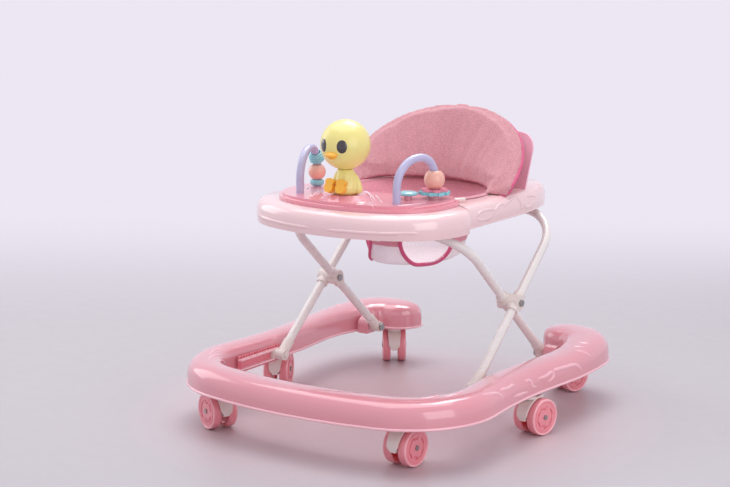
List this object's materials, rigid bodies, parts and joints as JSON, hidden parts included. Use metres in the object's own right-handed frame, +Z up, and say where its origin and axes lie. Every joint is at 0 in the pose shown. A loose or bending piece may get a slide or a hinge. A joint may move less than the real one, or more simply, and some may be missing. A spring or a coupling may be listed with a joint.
{
  "type": "baby walker",
  "caption": "Baby walker with a padded seat and toy tray on crossed folding tube frames above a U-shaped base ring with swivel casters.",
  "frame": {"origin": "on the floor under the centre of the whole walker, wheels at rest on the floor", "axes": "+Z up, -Y towards the front of the walker (the toy tray), +X across to the seated child's left"},
  "size_m": [0.6178, 0.6946, 0.549],
  "materials": {
    "base_plastic": "glossy moulded plastic",
    "tray_plastic": "glossy moulded plastic",
    "toy_tray_plastic": "glossy moulded plastic",
    "board_plastic": "satin moulded plastic",
    "cream_plastic": "satin moulded plastic",
    "wheel_plastic": "satin moulded plastic",
    "red_plastic": "satin moulded plastic",
    "rack_plastic": "matte moulded plastic",
    "frame_paint": "gloss white enamel",
    "steel": "plain steel",
    "lilac_plastic": "satin moulded plastic",
    "turquoise_plastic": "satin moulded plastic",
    "peach_plastic": "satin moulded plastic",
    "star_plastic": "satin moulded plastic",
    "chick_yellow": "satin moulded plastic",
    "chick_orange": "satin moulded plastic",
    "seat_fabric": "knitted polyester"
  },
  "bodies": {
    "base": {"base_shell": "base_plastic", "base_pan": "base_plastic", "rack_left": "rack_plastic", "rack_right": "rack_plastic", "pivot_brackets": "base_plastic", "pivot_bolts": "steel"},
    "inner_frame_body": {"inner_frame": "frame_paint", "inner_collars": "cream_plastic", "crossing_bolts": "steel", "inner_leg_ends": "cream_plastic"},
    "outer_frame_body": {"outer_frame": "frame_paint", "outer_collars": "cream_plastic", "outer_leg_ends": "cream_plastic"},
    "shoe_left_body": {"shoe_left": "cream_plastic"},
    "shoe_right_body": {"shoe_right": "cream_plastic"},
    "tray_body": {"tray_shell": "tray_plastic", "front_guides": "tray_plastic", "rear_saddles": "tray_plastic", "toy_tray": "toy_tray_plastic", "toy_arches": "lilac_plastic", "chick_body": "chick_yellow", "chick_head": "chick_yellow", "chick_feet": "chick_orange", "seat_sling": "seat_fabric", "backrest_board": "board_plastic", "backrest_pad": "seat_fabric"},
    "bead_ribbed_body": {"bead_ribbed": "turquoise_plastic"},
    "bead_left_body": {"bead_left": "peach_plastic"},
    "bead_disc_body": {"bead_disc": "turquoise_plastic"},
    "bead_right_body": {"bead_right": "peach_plastic"},
    "bead_star_body": {"bead_star": "star_plastic"},
    "bead_gear_body": {"bead_gear": "turquoise_plastic"},
    "spinner_body": {"spinner_disc": "turquoise_plastic"},
    "caster_fl": {"fork_fl": "cream_plastic", "axle_fl": "steel"},
    "wheels_body_fl": {"wheels_fl": "wheel_plastic", "hubs_fl": "red_plastic"},
    "caster_fr": {"fork_fr": "cream_plastic", "axle_fr": "steel"},
    "wheels_body_fr": {"wheels_fr": "wheel_plastic", "hubs_fr": "red_plastic"},
    "caster_ml": {"fork_ml": "cream_plastic", "axle_ml": "steel"},
    "wheels_body_ml": {"wheels_ml": "wheel_plastic", "hubs_ml": "red_plastic"},
    "caster_mr": {"fork_mr": "cream_plastic", "axle_mr": "steel"},
    "wheels_body_mr": {"wheels_mr": "wheel_plastic", "hubs_mr": "red_plastic"},
    "caster_rl": {"fork_rl": "cream_plastic", "axle_rl": "steel"},
    "wheels_body_rl": {"wheels_rl": "wheel_plastic", "hubs_rl": "red_plastic"},
    "caster_rr": {"fork_rr": "cream_plastic", "axle_rr": "steel"},
    "wheels_body_rr": {"wheels_rr": "wheel_plastic", "hubs_rr": "red_plastic"}
  },
  "joints": [
    {"name": "frame_fold", "type": "hinge", "parent": "base", "child": "inner_frame_body", "pos_m": [0, 0.2184, 0.09], "axis": [1, 0, 0], "range_deg": [0, 30]},
    {"name": "frame_crossing", "type": "hinge", "parent": "inner_frame_body", "child": "outer_frame_body", "pos_m": [0, 0.075, 0.21465], "axis": [1, 0, 0], "range_deg": [-60, 0]},
    {"name": "tray_hinge", "type": "hinge", "parent": "outer_frame_body", "child": "tray_body", "pos_m": [0, 0.235, 0.35374], "axis": [1, 0, 0], "range_deg": [0, 30]},
    {"name": "shoe_pivot_left", "type": "hinge", "parent": "outer_frame_body", "child": "shoe_left_body", "pos_m": [-0.219, -0.06839, 0.09], "axis": [1, 0, 0], "range_deg": [0, 30]},
    {"name": "shoe_pivot_right", "type": "hinge", "parent": "outer_frame_body", "child": "shoe_right_body", "pos_m": [0.219, -0.06839, 0.09], "axis": [1, 0, 0], "range_deg": [0, 30]},
    {"name": "swivel_fl", "type": "hinge", "parent": "base", "child": "caster_fl", "pos_m": [-0.18429, -0.27058, 0.075], "axis": [0, 0, 1], "continuous": true},
    {"name": "roll_fl", "type": "hinge", "parent": "caster_fl", "child": "wheels_body_fl", "pos_m": [-0.2006, -0.26298, 0.0325], "axis": [-0.4226, -0.9063, 0], "continuous": true},
    {"name": "swivel_fr", "type": "hinge", "parent": "base", "child": "caster_fr", "pos_m": [0.18429, -0.27058, 0.075], "axis": [0, 0, 1], "continuous": true},
    {"name": "roll_fr", "type": "hinge", "parent": "caster_fr", "child": "wheels_body_fr", "pos_m": [0.18586, -0.25265, 0.0325], "axis": [-0.9962, 0.0872, 0], "continuous": true},
    {"name": "swivel_ml", "type": "hinge", "parent": "base", "child": "caster_ml", "pos_m": [-0.27331, 0.00623, 0.075], "axis": [0, 0, 1], "continuous": true},
    {"name": "roll_ml", "type": "hinge", "parent": "caster_ml", "child": "wheels_body_ml", "pos_m": [-0.28063, 0.02267, 0.0325], "axis": [-0.9135, -0.4067, 0], "continuous": true},
    {"name": "swivel_mr", "type": "hinge", "parent": "base", "child": "caster_mr", "pos_m": [0.27331, 0.00623, 0.075], "axis": [0, 0, 1], "continuous": true},
    {"name": "roll_mr", "type": "hinge", "parent": "caster_mr", "child": "wheels_body_mr", "pos_m": [0.27705, 0.02384, 0.0325], "axis": [-0.9781, 0.2079, 0], "continuous": true},
    {"name": "swivel_rl", "type": "hinge", "parent": "base", "child": "caster_rl", "pos_m": [-0.18995, 0.29103, 0.075], "axis": [0, 0, 1], "continuous": true},
    {"name": "roll_rl", "type": "hinge", "parent": "caster_rl", "child": "wheels_body_rl", "pos_m": [-0.20002, 0.30595, 0.0325], "axis": [-0.829, -0.5592, 0], "continuous": true},
    {"name": "swivel_rr", "type": "hinge", "parent": "base", "child": "caster_rr", "pos_m": [0.18995, 0.29103, 0.075], "axis": [0, 0, 1], "continuous": true},
    {"name": "roll_rr", "type": "hinge", "parent": "caster_rr", "child": "wheels_body_rr", "pos_m": [0.19492, 0.30833, 0.0325], "axis": [-0.9613, 0.2756, 0], "continuous": true},
    {"name": "turn_bead_ribbed", "type": "hinge", "parent": "tray_body", "child": "bead_ribbed_body", "pos_m": [-0.12215, -0.07207, 0.46637], "axis": [0.1129, -0.4072, 0.9063], "continuous": true},
    {"name": "turn_bead_left", "type": "hinge", "parent": "tray_body", "child": "bead_left_body", "pos_m": [-0.123, -0.069, 0.4388], "axis": [0, 0, 1], "continuous": true},
    {"name": "turn_bead_disc", "type": "hinge", "parent": "tray_body", "child": "bead_disc_body", "pos_m": [-0.123, -0.069, 0.42], "axis": [0, 0, 1], "continuous": true},
    {"name": "turn_bead_right", "type": "hinge", "parent": "tray_body", "child": "bead_right_body", "pos_m": [0.123, -0.069, 0.446], "axis": [0, 0, 1], "continuous": true},
    {"name": "turn_bead_star", "type": "hinge", "parent": "tray_body", "child": "bead_star_body", "pos_m": [0.123, -0.069, 0.4278], "axis": [0, 0, 1], "continuous": true},
    {"name": "turn_bead_gear", "type": "hinge", "parent": "tray_body", "child": "bead_gear_body", "pos_m": [0.123, -0.069, 0.423], "axis": [0, 0, 1], "continuous": true},
    {"name": "turn_spinner_disc", "type": "hinge", "parent": "tray_body", "child": "spinner_body", "pos_m": [0.09, -0.101, 0.421], "axis": [0, 0, 1], "continuous": true}
  ],
  "couplings": [
    {"joint": "frame_crossing", "follows": "frame_fold", "ratio": -2},
    {"joint": "tray_hinge", "follows": "frame_fold", "ratio": 1},
    {"joint": "shoe_pivot_left", "follows": "frame_fold", "ratio": 1},
    {"joint": "shoe_pivot_right", "follows": "frame_fold", "ratio": 1}
  ]
}
